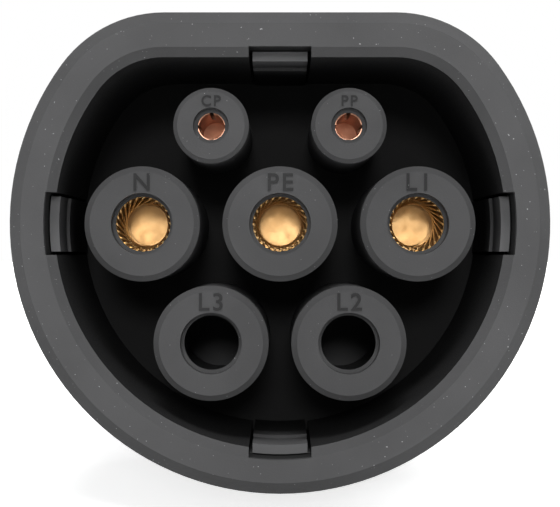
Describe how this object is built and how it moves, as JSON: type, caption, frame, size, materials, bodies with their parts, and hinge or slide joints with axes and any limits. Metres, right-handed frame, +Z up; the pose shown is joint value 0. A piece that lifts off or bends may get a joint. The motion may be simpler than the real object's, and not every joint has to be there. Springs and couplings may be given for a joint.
{
  "type": "ev charging plug",
  "caption": "Handheld vehicle charging plug with a D-shaped collar, round socket bosses, twisted-lamella contacts and a cord gland.",
  "frame": {"origin": "bottom centre of the bounding box: the plane of the foot and of the gland nut's lowest rib, under the plug's middle", "axes": "+Y along the mating axis from the rim to the gland, so the plug faces -Y; +Z up, towards the collar's flat side; +X to the right seen from in front"},
  "size_m": [0.076, 0.1924, 0.0668],
  "materials": {
    "housing_plastic": "fine matte texture",
    "carrier_plastic": "smooth matte",
    "soft_rubber": "soft matte",
    "gold_plating": "gold plated, satin",
    "copper_plating": "copper coloured, satin",
    "screw_steel": "bright",
    "resistor_coat": "lacquered"
  },
  "bodies": {
    "root": {"collar_shell": "housing_plastic", "contact_carrier": "carrier_plastic", "contact_retainer": "carrier_plastic", "retainer_screws": "screw_steel", "coding_resistor": "resistor_coat", "collar_gasket": "soft_rubber", "handle_left": "housing_plastic", "handle_right": "housing_plastic", "grip_pad_left": "soft_rubber", "grip_pad_right": "soft_rubber", "housing_screws": "screw_steel", "clamp_jaw_left": "carrier_plastic", "clamp_jaw_right": "carrier_plastic", "clamp_screws": "screw_steel", "gland_body": "housing_plastic", "gland_seal": "soft_rubber", "gland_claw": "carrier_plastic", "gland_nut": "housing_plastic", "sleeve_n": "carrier_plastic", "sleeve_pe": "carrier_plastic", "sleeve_l1": "carrier_plastic", "sleeve_l2": "carrier_plastic", "sleeve_l3": "carrier_plastic", "sleeve_cp": "carrier_plastic", "sleeve_pp": "carrier_plastic", "socket_contact_n": "gold_plating", "contact_cage_n": "gold_plating", "socket_contact_pe": "gold_plating", "contact_cage_pe": "gold_plating", "socket_contact_l1": "gold_plating", "contact_cage_l1": "gold_plating", "signal_contact_cp": "copper_plating", "signal_contact_pp": "copper_plating"}
  },
  "joints": []
}
